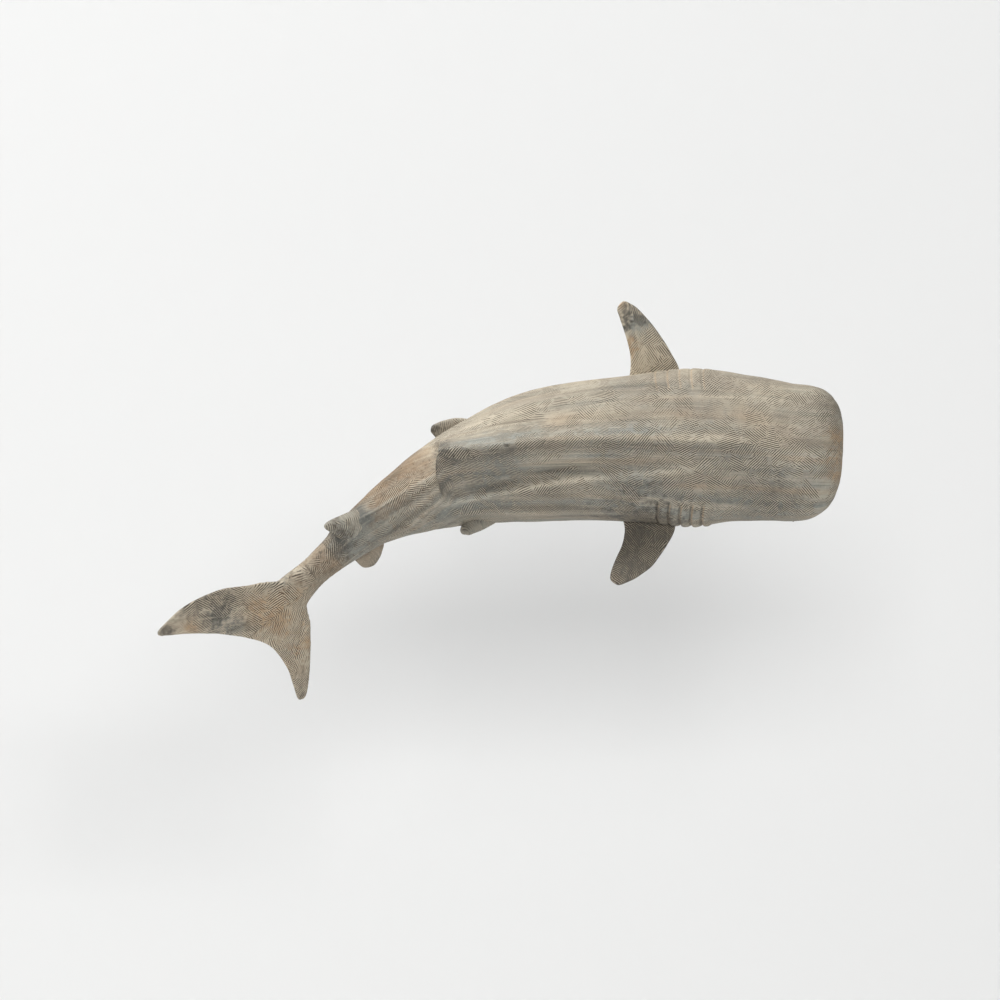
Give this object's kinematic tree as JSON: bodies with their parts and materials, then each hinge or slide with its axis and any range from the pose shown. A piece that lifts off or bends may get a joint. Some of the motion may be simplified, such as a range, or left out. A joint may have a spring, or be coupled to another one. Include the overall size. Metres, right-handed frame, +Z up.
{
  "type": "whale shark wall sculpture",
  "caption": "Hollow cast-resin whale shark wall sculpture with carved gills, a keeled back, pinned fins and a swept tail, hung on keyhole plates.",
  "frame": {"origin": "on the wall plane, midway between the two keyhole hangers", "axes": "+X towards the snout, +Y into the wall, +Z up"},
  "size_m": [0.6862, 0.1394, 0.3984],
  "materials": {
    "painted_resin": "combed cast resin, painted as weathered driftwood",
    "steel": "bright zinc",
    "pine": "sawn, bare"
  },
  "bodies": {
    "root": {"back_shell": "painted_resin", "belly_shell": "painted_resin", "tail": "painted_resin", "left_pectoral_fin": "painted_resin", "right_pectoral_fin": "painted_resin", "left_pelvic_fin": "painted_resin", "right_pelvic_fin": "painted_resin", "second_dorsal_fin": "painted_resin", "anal_fin": "painted_resin", "left_pectoral_dowel_1": "steel", "left_pectoral_dowel_2": "steel", "right_pectoral_dowel_1": "steel", "right_pectoral_dowel_2": "steel", "left_pelvic_dowel": "steel", "right_pelvic_dowel": "steel", "second_dorsal_dowel": "steel", "anal_dowel": "steel", "tail_rod": "steel", "front_keyhole_plate": "steel", "rear_keyhole_plate": "steel", "front_hanger_screw_1": "steel", "front_hanger_screw_2": "steel", "rear_hanger_screw_1": "steel", "rear_hanger_screw_2": "steel", "front_hanger_block": "pine", "rear_hanger_block": "pine"}
  },
  "joints": []
}
